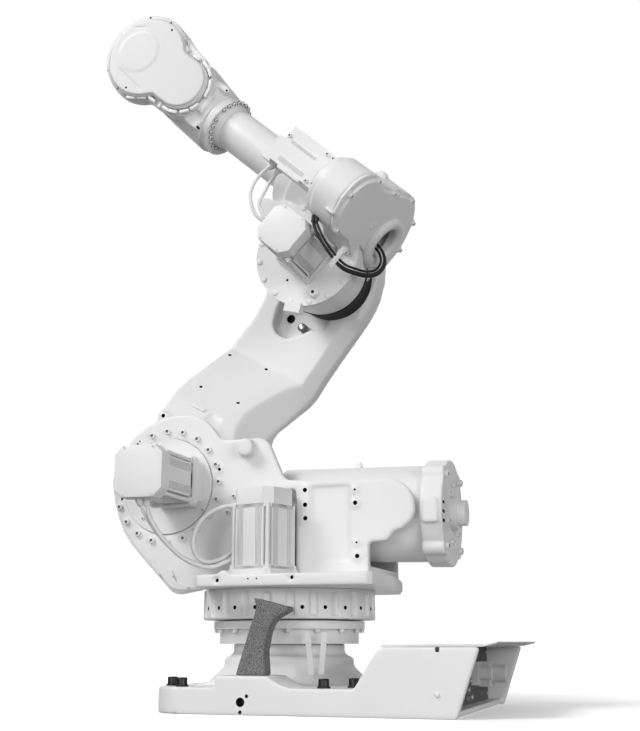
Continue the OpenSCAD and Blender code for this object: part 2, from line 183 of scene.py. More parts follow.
def plain(name, col, rough, var=0.85, scale=30, bump=0.12):
    """moulded plastic or rubber: fine grain and a slow tone drift"""
    m, nt, b = principled(name)
    L = nt.links
    tc = nt.nodes.new("ShaderNodeTexCoord")
    n1 = nt.nodes.new("ShaderNodeTexNoise")
    n1.inputs["Scale"].default_value = scale
    n1.inputs["Detail"].default_value = 4
    L.new(tc.outputs["Object"], n1.inputs["Vector"])
    ramp = nt.nodes.new("ShaderNodeValToRGB")
    ramp.color_ramp.elements[0].position = 0.35
    ramp.color_ramp.elements[1].position = 0.65
    ramp.color_ramp.elements[0].color = (*[c * var for c in col], 1)
    ramp.color_ramp.elements[1].color = (*col, 1)
    L.new(n1.outputs["Fac"], ramp.inputs["Fac"])
    L.new(ramp.outputs["Color"], b.inputs["Base Color"])
    fine = nt.nodes.new("ShaderNodeTexNoise")
    fine.inputs["Scale"].default_value = 420
    L.new(tc.outputs["Object"], fine.inputs["Vector"])
    bp = nt.nodes.new("ShaderNodeBump")
    bp.inputs["Strength"].default_value = bump
    bp.inputs["Distance"].default_value = 0.0004
    L.new(fine.outputs["Fac"], bp.inputs["Height"])
    L.new(bp.outputs["Normal"], b.inputs["Normal"])
    b.inputs["Roughness"].default_value = rough
    return m


def raw_cast(name):
    """unpainted sand casting: coarse speckle"""
    m, nt, b = principled(name)
    L = nt.links
    tc = nt.nodes.new("ShaderNodeTexCoord")
    vo = nt.nodes.new("ShaderNodeTexVoronoi")
    vo.inputs["Scale"].default_value = 260
    L.new(tc.outputs["Object"], vo.inputs["Vector"])
    n1 = nt.nodes.new("ShaderNodeTexNoise")
    n1.inputs["Scale"].default_value = 330
    n1.inputs["Detail"].default_value = 6
    L.new(tc.outputs["Object"], n1.inputs["Vector"])
    ramp = nt.nodes.new("ShaderNodeValToRGB")
    e = ramp.color_ramp.elements
    e[0].position = 0.36
    e[0].color = (0.06, 0.06, 0.06, 1)
    e[1].position = 0.64
    e[1].color = (0.30, 0.30, 0.30, 1)
    L.new(n1.outputs["Fac"], ramp.inputs["Fac"])
    L.new(ramp.outputs["Color"], b.inputs["Base Color"])
    bp = nt.nodes.new("ShaderNodeBump")
    bp.inputs["Strength"].default_value = 0.5
    bp.inputs["Distance"].default_value = 0.002
    L.new(vo.outputs["Distance"], bp.inputs["Height"])
    L.new(bp.outputs["Normal"], b.inputs["Normal"])
    b.inputs["Roughness"].default_value = 0.7
    b.inputs["Metallic"].default_value = 0.3
    return m


WHITE = paint("white_paint", (0.80, 0.80, 0.80), (0.76, 0.76, 0.765))
LID = paint("lid_paint", (0.70, 0.70, 0.70), (0.665, 0.665, 0.67), rough=0.38, peel=0.18)
MOTOR = paint("motor_paint", (0.80, 0.80, 0.80), (0.75, 0.75, 0.755), rough=0.45, peel=0.15, coat=0.05)
SHEET = paint("grey_sheet", (0.70, 0.70, 0.70), (0.64, 0.64, 0.645), rough=0.5, peel=0.1, coat=0.0)
COVER = paint("cover_paint", (0.88, 0.88, 0.88), (0.85, 0.85, 0.855))
DARK = paint("dark_sheet", (0.11, 0.11, 0.115), (0.085, 0.085, 0.09), rough=0.55, peel=0.1, coat=0.0)
STEEL = metal("bright_steel", (0.72, 0.72, 0.73), 0.32)
BLACKS = metal("black_steel", (0.05, 0.05, 0.05), 0.42, bump=0.15)
RAW = raw_cast("raw_casting")
RUB = plain("black_rubber", (0.02, 0.02, 0.02), 0.42)
CABW = plain("white_cable", (0.78, 0.78, 0.78), 0.45, var=0.92)
PLAS = plain("connector_grey", (0.66, 0.66, 0.66), 0.5)
# near black, painted shade: inside holes, sockets and gaps, and on flat dark marks that stand for them
HOLE = plain("shadow_hole", (0.012, 0.012, 0.012), 0.8)
# mid grey, painted shade in the screw sockets, lighter than the near black of shadow_hole
SOCK = plain("socket_grey", (0.30, 0.30, 0.30), 0.7)
TAG = plain("tag_white", (0.82, 0.82, 0.82), 0.6, var=0.95)

BODY = {}
for body, nodes in frame["record"]["behaviour"]["bodies"].items():
    for nd in nodes:
        BODY[nd] = body


# ---------------------------------------------------------------- mesh helpers
def add(name, me, mats, body, smooth=True, slot=None, angle=40):
    ob = bpy.data.objects.new(name, me)
    COL.objects.link(ob)
    for m in (mats if isinstance(mats, (list, tuple)) else [mats]):
        me.materials.append(m)
    if smooth:
        me.shade_smooth()
        me.set_sharp_from_angle(angle=math.radians(angle))
    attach(ob, body)
    return ob


def from_bm(name, bm, mats, body, **kw):
    me = bpy.data.meshes.new(name)
    bmesh.ops.recalc_face_normals(bm, faces=bm.faces)
    bm.to_mesh(me)
    bm.free()
    return add(name, me, mats, body, **kw)


def baked(ob):
    """mesh of an object with its modifiers applied; the object itself goes"""
    dg = bpy.context.evaluated_depsgraph_get()
    me = bpy.data.meshes.new_from_object(ob.evaluated_get(dg))
    bpy.data.objects.remove(ob)
    return me


def cutter(build, mat):
    bm = bmesh.new()
    build(bm)
    bmesh.ops.recalc_face_normals(bm, faces=bm.faces)
    me = bpy.data.meshes.new("cutter")
    bm.to_mesh(me)
    bm.free()
    me.materials.append(mat)
    ob = bpy.data.objects.new("cutter", me)
    COL.objects.link(ob)
    return ob


def casting(name, nodes, mat, voxel, smooth, tris, slot="white_paint", extra=None, pre=None, holes=None, shape=None, bend=None):
    """one smooth cast skin made from CAD nodes: their shape remeshed, its edges rounded, small holes cut last"""
    bm = bmesh.new()
    if shape:
        shape(bm)
    else:
        for nd in nodes:
            bm.from_mesh(N[nd].data)
    if extra:
        extra(bm)
    me = bpy.data.meshes.new(name + "_raw")
    bm.to_mesh(me)
    bm.free()
    ob = bpy.data.objects.new(name + "_raw", me)
    COL.objects.link(ob)
    r = ob.modifiers.new("v", "REMESH")
    r.mode = "VOXEL"
    r.voxel_size = voxel
    if pre:
        tool = cutter(pre, mat)
        c = ob.modifiers.new("c", "BOOLEAN")
        c.operation = "DIFFERENCE"
        c.solver = "EXACT"
        c.object = tool
        r2 = ob.modifiers.new("v2", "REMESH")
        r2.mode = "VOXEL"
        r2.voxel_size = voxel
    s = ob.modifiers.new("s", "SMOOTH")
    s.factor = 0.5
    s.iterations = smooth
    out = baked(ob)
    if pre:
        bpy.data.objects.remove(tool)
    if bend:
        for v in out.vertices:
            v.co = bend(v.co)
    count = 2 * len(out.polygons)
    if count > tris:
        ob = bpy.data.objects.new(name + "_d", out)
        COL.objects.link(ob)
        d = ob.modifiers.new("d", "DECIMATE")
        d.ratio = tris / count
        out = baked(ob)
    out.materials.clear()
    out.materials.append(mat)
    # the cut holes' inside faces take the near-black shadow_hole material: painted shade in the holes
    if holes:
        tool = cutter(holes, HOLE)
        ob = bpy.data.objects.new(name + "_h", out)
        COL.objects.link(ob)
        c = ob.modifiers.new("h", "BOOLEAN")
        c.operation = "DIFFERENCE"
        c.solver = "EXACT"
        c.material_mode = "TRANSFER"
        c.object = tool
        out = baked(ob)
        bpy.data.objects.remove(tool)
    out.name = name
    ob = add(name, out, [], BODY[nodes[0]], slot=slot, angle=50)
    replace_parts(ob, *nodes)
    return ob


def cyl(bm, m, r, z0, z1, seg=32, mat=0, cham=0.0, r2=None):
    """closed cylinder along z of matrix m, with an edge chamfer at its z1 end"""
    r2 = r if r2 is None else r2
    rings = [(r, z0)]
    if cham > 0:
        rings += [(r2, z1 - cham), (r2 - cham * 0.35, z1 - cham * 0.3), (r2 - cham, z1)]
    else:
        rings += [(r2, z1)]
    vs = []
    for rr, z in rings:
        vs.append([bm.verts.new(m @ Vector((rr * math.cos(2 * math.pi * i / seg), rr * math.sin(2 * math.pi * i / seg), z))) for i in range(seg)])
    fs = []
    for a, b in zip(vs, vs[1:]):
        for i in range(seg):
            fs.append(bm.faces.new((a[i], a[(i + 1) % seg], b[(i + 1) % seg], b[i])))
    fs.append(bm.faces.new(list(reversed(vs[0]))))
    fs.append(bm.faces.new(vs[-1]))
    for f in fs:
        f.material_index = mat
    return fs


def screw(bm, m, r, h, seg=24, mat=0, dark=1, washer=None):
    """socket head screw on z of matrix m: head with rounded rim and a six-sided socket"""
    if washer:
        wr, wh = washer
        cyl(bm, m, wr, 0, wh, seg=seg, mat=mat, cham=wh * 0.35)
        m = m @ Matrix.Translation((0, 0, wh))
    c = min(r, h) * 0.18
    rings = [(r, 0, seg), (r, h - c, seg), (r - c * 0.35, h - c * 0.3, seg), (r - c, h, seg)]
    vs = [[bm.verts.new(m @ Vector((rr * math.cos(2 * math.pi * i / seg), rr * math.sin(2 * math.pi * i / seg), z))) for i in range(seg)] for rr, z, _ in rings]
    for a, b in zip(vs, vs[1:]):
        for i in range(seg):
            bm.faces.new((a[i], a[(i + 1) % seg], b[(i + 1) % seg], b[i])).material_index = mat
    bm.faces.new(list(reversed(vs[0]))).material_index = mat
    hr = r * 0.55
    def hexpt(i, z):
        a = 2 * math.pi * i / seg
        k = math.pi / 3
        rr = hr * math.cos(k / 2) / math.cos((a % k) - k / 2)
        return m @ Vector((rr * math.cos(a), rr * math.sin(a), z))
    # the socket walls and floor take material index dark, which paints shade into the socket
    top = [bm.verts.new(hexpt(i, h)) for i in range(seg)]
    bot = [bm.verts.new(hexpt(i, h * 0.45)) for i in range(seg)]
    for i in range(seg):
        j = (i + 1) % seg
        bm.faces.new((vs[-1][i], vs[-1][j], top[j], top[i])).material_index = mat
        bm.faces.new((top[i], top[j], bot[j], bot[i])).material_index = dark
    bm.faces.new(bot).material_index = dark


def ring_of(o, x, z, r, count, start=0.0, span=360.0):
    """matrices round a circle about z at o"""
    out = []
    base = basis(o, x, z)
    for i in range(count):
        a = math.radians(start + span * i / count)
        out.append(base @ Matrix.Translation((r * math.cos(a), r * math.sin(a), 0)))
    return out


def rbox(bm, m, size, rad, mat=0, seg=3):
    """box with rounded edges, centred on matrix m"""
    b2 = bmesh.new()
    bmesh.ops.create_cube(b2, size=1.0)
    bmesh.ops.scale(b2, vec=size, verts=b2.verts)
    if rad > 0:
        bmesh.ops.bevel(b2, geom=list(b2.edges), offset=rad, segments=seg, affect="EDGES", profile=0.5)
    bmesh.ops.transform(b2, matrix=m, verts=b2.verts)
    for f in b2.faces:
        f.material_index = mat
    tmp = bpy.data.meshes.new("tmp")
    b2.to_mesh(tmp)
    b2.free()
    bm.from_mesh(tmp)
    bpy.data.meshes.remove(tmp)


def soften(node, width, mat, segments=3, angle=35):
    """CAD node kept, its edges rounded by modifiers"""
    ob = N[node]
    w = ob.modifiers.new("weld", "WELD")
    w.merge_threshold = 0.00002
    b = ob.modifiers.new("round", "BEVEL")
    b.width = width
    b.segments = segments
    b.limit_method = "ANGLE"
    b.angle_limit = math.radians(angle)
    b.harden_normals = False
    b.use_clamp_overlap = True
    ob.data.materials.clear()
    ob.data.materials.append(mat)


def finish_node(node, mat):
    ob = N[node]
    ob.data.materials.clear()
    ob.data.materials.append(mat)


# ---------------------------------------------------------------- cables
def catmull(pts, k=5):
    out = []
    for i in range(len(pts) - 1):
        p0 = pts[max(i - 1, 0)]
        p1, p2 = pts[i], pts[i + 1]
        p3 = pts[min(i + 2, len(pts) - 1)]
        for j in range(k):
            t = j / k
            out.append(0.5 * ((2 * p1) + (-p0 + p2) * t + (2 * p0 - 5 * p1 + 4 * p2 - p3) * t * t + (-p0 + 3 * p1 - 3 * p2 + p3) * t ** 3))
    out.append(pts[-1])
    return out


def cable(name, pts, dia, mat, body, nodes):
    pts = catmull(pts)
    cu = bpy.data.curves.new(name, "CURVE")
    cu.dimensions = "3D"
    sp = cu.splines.new("POLY")
    sp.points.add(len(pts) - 1)
    for q, p in zip(sp.points, pts):
        q.co = (*p, 1)
    cu.bevel_depth = dia / 2
    cu.bevel_resolution = 5
    cu.use_fill_caps = True
    cu.materials.append(mat)
    ob = bpy.data.objects.new(name, cu)
    COL.objects.link(ob)
    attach(ob, body)
    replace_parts(ob, *nodes)
    return ob


black_a = [(-45, 380, -110), (-49, 381, -121), (-57, 383, -133), (-71, 384, -145), (-91, 381, -156), (-117, 372, -168), (-146, 355, -180),
           (-168, 330, -187), (-184, 298, -191), (-196, 260, -191), (-208, 215, -184), (-222, 165, -168), (-240, 110, -144),
           (-248, 70, -110), (-236, 42, -76), (-212, 22, -48), (-172, 6, -26), (-130, 2, -18), (-60, 4, -12)]
black_a = [Vector(q) for q in black_a]
black_b, black_c = [], []
for i, q in enumerate(black_a):
    t = (black_a[min(i + 1, len(black_a) - 1)] - black_a[max(i - 1, 0)]).normalized()
    u = Vector((0, 1, 0)).cross(t).normalized()
    black_b.append(q + 14 * u)
    black_c.append(q - 14 * t.cross(u))
for i, route in enumerate([black_a, black_b, black_c]):
    cable(f"rear_cable_{i + 1}", [fore(*q) for q in route], 0.0095, RUB, "upper", ["rear_cables"])
white_a = [(344, 512, 705), (342, 511, 684), (334, 508, 650), (306, 492, 596), (275, 466, 550), (238, 432, 510), (194, 396, 486),
           (155, 366, 482), (122, 340, 498), (88, 324, 512)]
white_b = [(87, 318, 694), (118, 320, 697), (150, 327, 690), (190, 340, 668), (218, 352, 634), (232, 358, 594), (234, 360, 558),
           (222, 357, 524), (192, 349, 502), (152, 338, 506), (114, 326, 526), (86, 316, 552)]
white_e = [(368, 524, 705), (362, 518, 684), (352, 505, 652), (323, 482, 600), (290, 454, 556), (254, 416, 520),
           (222, 370, 500), (196, 332, 494), (160, 308, 498), (114, 296, 508), (79, 291, 520)]
cable("shoulder_cable_1", [P(*q) for q in white_a], 0.016, CABW, "frame", ["shoulder_cables"])
cable("shoulder_cable_2", [P(*q) for q in white_b], 0.016, CABW, "frame", ["shoulder_cables"])
cable("shoulder_cable_3", [P(*q) for q in white_e], 0.010, CABW, "frame", ["shoulder_cables"])
white_c = [(262, 320, -57), (272, 326, -100), (270, 330, -150), (243, 335, -201), (190, 330, -239), (140, 322, -246), (84, 312, -240)]
white_d = [(240, 300, -49), (236, 304, -100), (220, 312, -156), (200, 318, -205), (150, 308, -228), (84, 298, -222)]
cable("motor_cable_1", [fore(*q) for q in white_c], 0.014, CABW, "upper", ["motor_cables"])
cable("motor_cable_2", [fore(*q) for q in white_d], 0.014, CABW, "upper", ["motor_cables"])

# ---------------------------------------------------------------- placing helpers
def on_y(x, y, z):
    """frame on a face looking to the motor side"""
    return basis(P(x, y, z), (1, 0, 0), Y)


def on_arm(s, y, n):
    """frame on a motor-side face of the forearm, its x along the forearm"""
    return basis(fore(s, y, n), A, Y)


def on_rear(s, y, n):
    """frame on a face looking back along the forearm, its x to the motor side"""
    return basis(fore(s, y, n), Y, -A)


def hole(bm, m, r, deep, seg=24):
    cyl(bm, m, r, -deep, 0.02, seg=seg)


def boss(bm, m, r, h, deep=0.01, seg=40):
    """raised round boss, sunk a little into its casting"""
    cyl(bm, m, r + h * 0.4, -deep, h, seg=seg, cham=h * 0.45, r2=r)


def prism(bm, m, pts, z0, z1, cham=0.0, mat=0):
    """extruded outline with a chamfer at its z1 end"""
    k = len(pts)
    c = Vector((sum(p[0] for p in pts) / k, sum(p[1] for p in pts) / k))
    ext = max(max(abs(p[0] - c[0]), abs(p[1] - c[1])) for p in pts)
    levels = [(1.0, z0)]
    if cham > 0:
        levels += [(1.0, z1 - cham), (1 - 0.3 * cham / ext, z1 - 0.3 * cham), (1 - cham / ext, z1)]
    else:
        levels += [(1.0, z1)]
    vs = [[bm.verts.new(m @ Vector((c[0] + f * (p[0] - c[0]), c[1] + f * (p[1] - c[1]), z))) for p in pts] for f, z in levels]
    for a, b in zip(vs, vs[1:]):
        for i in range(k):
            j = (i + 1) % k
            bm.faces.new((a[i], a[j], b[j], b[i])).material_index = mat
    bm.faces.new(list(reversed(vs[0]))).material_index = mat
    bm.faces.new(vs[-1]).material_index = mat


def cut_square(w, c):
    h = w / 2
    return [(h, h - c), (h - c, h), (c - h, h), (-h, h - c), (-h, c - h), (c - h, -h), (h - c, -h), (h, c - h)]


def wedge(bm, pts, y0, y1):
    prism(bm, basis(P(0, y0, 0), (1, 0, 0), Y), [(x * mm, -z * mm) for x, z in pts], 0, (y1 - y0) * mm)


# ---------------------------------------------------------------- castings
def base_extra(bm):
    for sg in (1, -1):
        y0, y1 = (200, 400) if sg > 0 else (-400, -200)
        wedge(bm, [(88, 80), (88, 118), (190, 92), (215, 84), (215, 80)], y0, y1)
        y0, y1 = (290, 474) if sg > 0 else (-474, -290)
        wedge(bm, [(-94, 80), (-94, 120), (-125, 101), (-172, 84), (-172, 80)], y0, y1)


def base_holes(bm):
    for x, z, r, d in [(-1, 40, 15, 30), (-23, 59, 6, 20), (-1, 9, 6, 20)]:
        hole(bm, on_y(x, 475, z), r * mm, d * mm)
        hole(bm, basis(P(x, -475, z), (1, 0, 0), -Y), r * mm, d * mm)


casting("base_body", ["base_casting", "rear_housing"], WHITE, 0.006, 6, 100000, extra=base_extra, holes=base_holes)


def frame_extra(bm):
    for sg in (1, -1):
        d = Y * sg
        for x, z, r in [(-320, 751, 14), (-321, 704, 17), (-325, 566, 14), (-327, 519, 17), (200, 848, 14)]:
            boss(bm, basis(P(x, sg * 217, z), (1, 0, 0), d), r * mm, 0.0065)
    for sg in (1, -1):
        cyl(bm, basis(P(-440, sg * 209, 684), (1, 0, 0), Y * sg), 0.056, 0, 0.008, seg=64)
    rbox(bm, on_y(-135, 217, 708) @ Matrix.Translation((0, 0, -0.004)), (0.036, 0.142, 0.020), 0.007)
    cyl(bm, basis(P(95, 380, 446), (1, 0, 0), Y), 0.022, 0, 0.034, seg=32)


def frame_pre(bm):
    rbox(bm, on_y(-229, 217, 635), (0.142, 0.27, 0.014), 0.005)
    for x, z in [(121, 437), (-150, 443)]:
        cyl(bm, on_y(x, 415, z - 2), 0.0125, -0.009, 0.02, seg=32)
    for sg in (1, -1):
        if sg > 0:
            cyl(bm, basis(SH + 217 * mm * Y, (1, 0, 0), Y), 0.1785, -0.08, 0.02, seg=96)
        else:
            cyl(bm, basis(SH - 217 * mm * Y, (1, 0, 0), -Y), 0.1205, -0.08, 0.02, seg=96)


def frame_holes(bm):
    for x, z, r in [(-320, 751, 4), (-321, 704, 8), (-325, 566, 4), (-327, 519, 8)]:
        hole(bm, on_y(x, 217, z), r * mm, 0.02)
    for x, z in [(-134, 757), (-135, 704), (-136, 656)]:
        hole(bm, on_y(x, 217, z), 0.008, 0.02)
    for x, z, r in [(200, 848, 6), (600, 755, 5), (536, 972, 4), (486, 958, 4), (-344, 436, 4)]:
        hole(bm, on_y(x, 217, z), r * mm, 0.02)
    for x, z in [(121, 437), (-150, 443)]:
        hole(bm, on_y(x - 3, 415, z - 4), 0.0065, 0.03)
    for x in (3, -28):
        hole(bm, on_y(x, 415, 437), 0.003, 0.01)


casting("frame_body", ["frame_slab", "cheek_near", "cheek_far", "frame_bridge"], WHITE, 0.0055, 6, 140000, extra=frame_extra, pre=frame_pre, holes=frame_holes)


def ring_holes(bm):
    for k in range(24):
        a = math.radians(12.5 + 15 * k)
        d = Vector((math.cos(a), math.sin(a), 0))
        hole(bm, basis(P(0, 0, 346) + 0.317 * d, (0, 0, 1), d), 0.007, 0.03)


casting("ring_body", ["turntable"], WHITE, 0.0042, 2, 80000, holes=ring_holes)

SLOPE = Vector((0, 0.713, 0)) + 0.70 * T


def arm_extra(bm):
    # small block with a tapped hole low on the arm
    rbox(bm, basis(low(207, 128, 215), W, Y), (0.05, 0.036, 0.02), 0.006)


def arm_pre(bm):
    # shallow recess low on the arm
    rbox(bm, basis(low(39, 84, 290), W, SLOPE), (0.06, 0.075, 0.03), 0.012)


def arm_holes(bm):
    for w, y, t in [(245, -183, 557), (74, -202, 576), (202, -12, 383), (29, -27, 398)]:
        hole(bm, basis(low(w, y, t) + SLOPE * 0.004, W, SLOPE), 0.007, 0.03)
    hole(bm, basis(low(-54, -215, 847), W, Y), 0.006, 0.02)
    hole(bm, basis(low(207, 138, 215), W, Y), 0.008, 0.02)
    hole(bm, basis(low(125, -276, 819), W, Y), 0.018, 0.034, seg=40)


casting("lower_body", ["lower_arm"], WHITE, 0.006, 14, 90000, extra=arm_extra, pre=arm_pre, holes=arm_holes)


def house_extra(bm):
    cyl(bm, basis(fore(-50, 165, 150), A, NN), 0.03, 0, 0.05, seg=32, cham=0.012, r2=0.024)
    # front end of the sleeve and the web below it
    cyl(bm, basis(fore(240, 0, 0), Y, A), 0.142, 0, 0.095, seg=96)
    wedge(bm, [(98, 1965), (94, 1800), (-80, 1800), (-110, 1890)], 0, 112)


casting("house_body", ["arm_house"], WHITE, 0.0055, 7, 90000, extra=house_extra)


def local(co):
    d = co - FT
    return d.dot(A) / mm, d.y / mm, d.dot(NN) / mm


def cover_shape(bm):
    me = N["rear_cover"].data
    for k in (0, 1):
        b2 = bmesh.new()
        b2.from_mesh(me)
        for v in b2.verts:
            s, y, n = local(v.co)
            if k == 0:
                s = -130.1 + (s + 130.1) * 0.5
            else:
                y = 150 + 0.91 * (y - 150)
                n = 5 + 0.90 * (n - 5)
            v.co = fore(s, y, n)
        tmp = bpy.data.meshes.new("tmp")
        b2.to_mesh(tmp)
        b2.free()
        bm.from_mesh(tmp)
        bpy.data.meshes.remove(tmp)
    for y, n in COVER_BOLTS:
        cyl(bm, on_rear(-130, y, n), 0.015, 0, 0.017, seg=32, cham=0.003)
    for y, n in [(172, 2), (161, 22)]:
        cyl(bm, on_rear(-150, y, n), 0.007, 0, 0.007, seg=20, cham=0.002)


COVER_BOLTS = [(453, 12), (356, 128), (190, 152), (22, 198), (-120, 150), (-190, 40), (360, -106), (198, -136), (3, -139), (-120, -140)]
casting("cover_body", ["rear_cover"], COVER, 0.004, 5, 60000, shape=cover_shape)


def wrist_extra(bm):
    for s0, s1, n0, n1, y in [(800, 838, -45, 37, 143), (780, 856, 84, 112, 118), (786, 860, -112, -42, 124)]:
        rbox(bm, on_arm((s0 + s1) / 2, y - 40, (n0 + n1) / 2), ((s1 - s0) * mm, (n1 - n0) * mm, 0.08), 0.005)


def wrist_holes(bm):
    for s, n in [(790, 97), (785, -98)]:
        hole(bm, on_arm(s, 126, n), 0.005, 0.03)


casting("wrist_body", ["wrist_housing"], WHITE, 0.005, 6, 60000, extra=wrist_extra, holes=wrist_holes)


def lid_shape(bm):
    me = N["wrist_cover"].data
    for k in (0, 1):
        b2 = bmesh.new()
        b2.from_mesh(me)
        for v in b2.verts:
            s, y, n = local(v.co)
            if k == 0:
                y = 138.1 + (y - 138.1) * 0.68
                s += 0.06 * max(s - 1187, 0)
                n += 0.05 * max(n, 0) * min(max((s - 1080) / 80, 0), 1)
            else:
                s = 1090 + 0.95 * (s - 1090)
                n = 0.945 * n
            v.co = fore(s, y, n)
        tmp = bpy.data.meshes.new("tmp")
        b2.to_mesh(tmp)
        b2.free()
        bm.from_mesh(tmp)
        bpy.data.meshes.remove(tmp)
    # low round swelling over the wrist joint
    cyl(bm, on_arm(1228, 166, -3), 0.092, 0, 0.0073, seg=72, cham=0.001)


def lid_pre(bm):
    for s0, n0, s1, n1 in [(1254, -112, 1097, -126), (1330, 70, 1280, 100)]:
        d = fore(s1, 172, n1) - fore(s0, 172, n0)
        rbox(bm, basis((fore(s0, 172, n0) + fore(s1, 172, n1)) / 2, d, Y), (d.length, 0.006, 0.006), 0.0015)


def lid_holes(bm):
    for s, n in [(1164, 156), (1158, -157)]:
        hole(bm, on_arm(s, 172, n), 0.005, 0.012)
    for s, n in [(1200, 180), (1196, -182), (1304, 146), (1300, -150)]:
        hole(bm, on_arm(s, 162, n), 0.005, 0.012)


casting("wrist_lid", ["wrist_cover"], LID, 0.0035, 5, 60000, shape=lid_shape, pre=lid_pre, holes=lid_holes)


def tail_extra(bm):
    rbox(bm, on_y(-583, 186, 673), (0.055, 0.086, 0.03), 0.006)


def tail_holes(bm):
    for k in (-1, 0, 1):
        b2 = basis(P(-626, 130, 673 + 32 * k), Y, (-1, 0, 0))
        cyl(bm, b2, 0.011, -0.02, 0.02, seg=16)


casting("tail_body", ["balancer_tail"], WHITE, 0.0045, 5, 40000, extra=tail_extra)


def tilt_bend(co):
    """the two journals keep a little play in their bores"""
    s, y, n = local(co)
    if -93 < y < 87 or math.hypot(s - 1187, n) > 70:
        return co
    return fore(1187 + 0.95 * (s - 1187), y, 0.95 * n)


casting("tilt_body", ["tilt_housing"], WHITE, 0.005, 6, 30000, bend=tilt_bend)
casting("stop_body", ["stop_bracket"], RAW, 0.004, 7, 20000, slot="raw_casting")

for nd, mat, wd in [("housing_lid", SHEET, 0.0015), ("connector_wall", DARK, 0.002), ("connector_power", PLAS, 0.003),
                    ("connector_signal", PLAS, 0.003), ("gear_ring", WHITE, 0.003), ("strap_front", WHITE, 0.001), ("strap_rear", WHITE, 0.001),
                    ("gear_shoulder", WHITE, 0.003), ("bearing_cap", WHITE, 0.003), ("casting_cover", WHITE, 0.0025),
                    ("balancer_cylinder", WHITE, 0.003), ("balancer_cap", WHITE, 0.003), ("elbow_disc", WHITE, 0.004),
                    ("forearm_tube", WHITE, 0.002), ("wrist_flange", WHITE, 0.004), ("wrist_cap", WHITE, 0.003),
                    ("tool_disc", STEEL, 0.0015), ("motor_forearm", MOTOR, 0.005)]:
    soften(nd, wd, mat)
for nd, mat in [("balancer_rod", STEEL), ("rod_pin", STEEL), ("cable_ring", WHITE)]:
    finish_node(nd, mat)


# ---------------------------------------------------------------- motors
def motor(name, node, m, h, cap, body, foot=0.018):
    """square motor: foot plate, finned body between collars, four corner rods and a cut-corner cap"""
    bm = bmesh.new()
    w = 0.0825
    flange = 0.018 if foot < 0.03 else 0.030
    if foot > flange:
        prism(bm, m, [(x * mm, y * mm) for x, y in cut_square(180, 22)], 0, foot - flange)
    prism(bm, m @ Matrix.Translation((0, 0, foot - flange)), [(x * mm, y * mm) for x, y in cut_square(184, 12)], 0, flange, cham=0.003)
    side = [(w, -0.0605), ]
    for c in (-0.040, 0.040):
        for k in range(5):
            g = c + (k - 2) * 0.0056
            side += [(w, g - 0.0014), (w - 0.004, g - 0.0012), (w - 0.004, g + 0.0012), (w, g + 0.0014)]
    side += [(w, 0.0605), (0.0625, 0.0605)]
    out = []
    for q in range(4):
        a = q * math.pi / 2
        out += [(x * math.cos(a) - y * math.sin(a), x * math.sin(a) + y * math.cos(a)) for x, y in side]
    prism(bm, m, out, foot - 0.001, h - 0.059)
    sq = [(x * mm, y * mm) for x, y in cut_square(165, 21)]
    prism(bm, m @ Matrix.Translation((0, 0, foot - 0.001)), sq, 0, 0.013, cham=0.002)
    prism(bm, m @ Matrix.Translation((0, 0, h - 0.072)), sq, 0, 0.013)
    lid = [(x * mm, y * mm) for x, y in cut_square(cap, 30)]
    prism(bm, m @ Matrix.Translation((0, 0, h - 0.06)), lid, 0, 0.06, cham=0.004)
    for i in (-1, 1):
        for j in (-1, 1):
            c = m @ Matrix.Translation((i * 0.0735, j * 0.0735, 0))
            cyl(bm, c, 0.0075, foot - 0.001, h - 0.058, seg=20)
            screw(bm, c @ Matrix.Translation((i * 0.003, j * 0.003, foot)), 0.0098, 0.014)
            k = cap / 2 * mm
            screw(bm, m @ Matrix.Translation((i * (k - 0.036), j * (k - 0.009), h - 0.003)), 0.0055, 0.005, seg=18)
    ob = from_bm(name, bm, [MOTOR, SOCK], body, slot="motor_paint", angle=30)
    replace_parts(ob, node)


q = -math.radians(16.5)
motor("turn_motor", "motor_turn", basis(P(-6, 295, 455), (math.cos(q), math.sin(q), 0), (0, 0, 1)), 0.300, 168, "frame")
motor("shoulder_motor", "motor_shoulder", basis(P(353, 222.1, 799), (1, 0, 0), Y), 0.350, 182, "frame", foot=0.084)
motor("elbow_motor", "motor_elbow", basis(EL + 140.4 * mm * Y, A, Y), 0.286, 160, "upper")

# finned bands, ledges and screws of the box motor on the arm
bm = bmesh.new()
for n0, n1 in [(46, 58), (-33, -15)]:
    k = 3 if n1 - n0 < 15 else 4
    for i in range(k):
        n = n0 + (n1 - n0) * (i + 0.5) / k
        rbox(bm, on_arm(161, 385, n), (0.126, 0.0028, 0.008), 0.0008, seg=1)
for i in range(12):
    rbox(bm, basis(fore(161, 262 + 9 * i, 105), A, NN), (0.126, 0.0035, 0.008), 0.0008, seg=1)
rbox(bm, on_arm(150, 372, -52), (0.115, 0.014, 0.03), 0.003)
rbox(bm, on_arm(272, 368, -53), (0.045, 0.014, 0.026), 0.003)
for s, n in [(41, -30), (70, -36), (71, 90), (246, 64), (41, 90)]:
    screw(bm, on_arm(s, 384, n), 0.008, 0.008)
from_bm("arm_motor_fins", bm, [MOTOR, SOCK], "upper", slot="motor_paint", angle=30)


# ---------------------------------------------------------------- cable glands
def gland(bm, at, to, r):
    d = to - at
    x = (0, 1, 0) if abs(d.normalized().y) < 0.8 else (1, 0, 0)
    m = basis(at, x, d)
    cyl(bm, m, r, -0.006, 0.008, seg=6)
    cyl(bm, m, r * 0.82, 0.006, 0.022, seg=24, cham=0.003)


